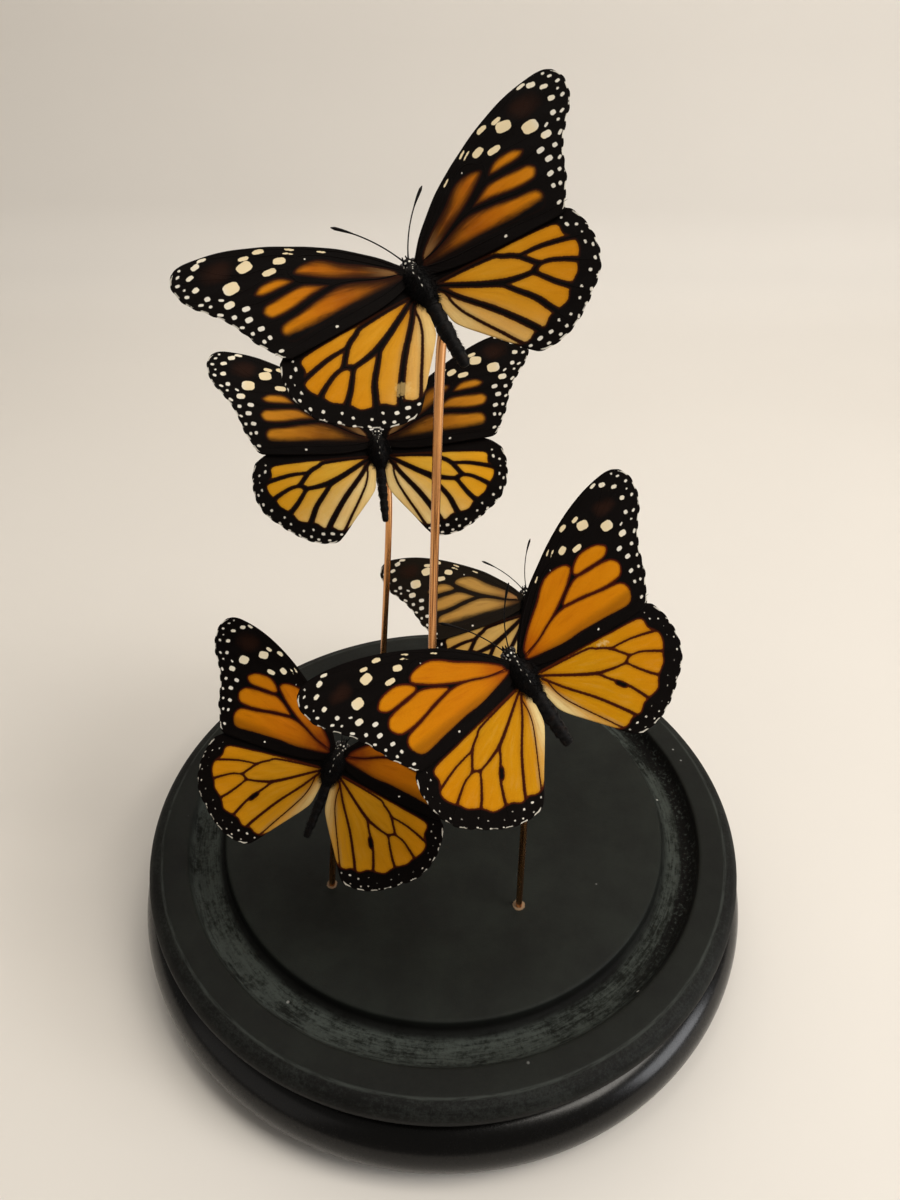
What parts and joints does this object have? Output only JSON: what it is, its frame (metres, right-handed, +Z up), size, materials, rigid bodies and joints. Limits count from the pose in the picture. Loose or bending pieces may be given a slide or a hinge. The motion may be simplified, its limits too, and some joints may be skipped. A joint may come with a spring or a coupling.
{
  "type": "insect in glass dome",
  "caption": "Dried monarch butterflies with open wings on upright copper wire stems, set in a round black turned base with a groove for a glass dome.",
  "frame": {"origin": "centre of the base's underside, on the surface it stands on", "axes": "+Z up, -Y towards the front of the display, +X to the right seen from the front"},
  "size_m": [0.208, 0.208, 0.2564],
  "materials": {
    "painted_wood": "matt black paint, slightly dusty, glossier on the rounded side",
    "copper_wire": "bright drawn copper wire, slightly dulled",
    "insect_body": "black, matt and finely haired",
    "forewing": "scaled wing membrane, orange cells between black veins, black edge with cream spots",
    "hindwing": "scaled wing membrane, amber cells between thin black veins, black edge with white dots",
    "antenna": "black, smooth"
  },
  "bodies": {
    "root": {"base": "painted_wood", "stem_top": "copper_wire", "body_top": "insect_body", "forewing_left_top": "forewing", "hindwing_left_top": "hindwing", "antenna_left_top": "antenna", "forewing_right_top": "forewing", "hindwing_right_top": "hindwing", "antenna_right_top": "antenna", "stem_upper_left": "copper_wire", "body_upper_left": "insect_body", "forewing_left_upper_left": "forewing", "hindwing_left_upper_left": "hindwing", "antenna_left_upper_left": "antenna", "forewing_right_upper_left": "forewing", "hindwing_right_upper_left": "hindwing", "antenna_right_upper_left": "antenna", "stem_back_right": "copper_wire", "body_back_right": "insect_body", "forewing_left_back_right": "forewing", "hindwing_left_back_right": "hindwing", "antenna_left_back_right": "antenna", "forewing_right_back_right": "forewing", "hindwing_right_back_right": "hindwing", "antenna_right_back_right": "antenna", "stem_front_right": "copper_wire", "body_front_right": "insect_body", "forewing_left_front_right": "forewing", "hindwing_left_front_right": "hindwing", "antenna_left_front_right": "antenna", "forewing_right_front_right": "forewing", "hindwing_right_front_right": "hindwing", "antenna_right_front_right": "antenna", "stem_front_left": "copper_wire", "body_front_left": "insect_body", "forewing_left_front_left": "forewing", "hindwing_left_front_left": "hindwing", "antenna_left_front_left": "antenna", "forewing_right_front_left": "forewing", "hindwing_right_front_left": "hindwing", "antenna_right_front_left": "antenna"}
  },
  "joints": []
}
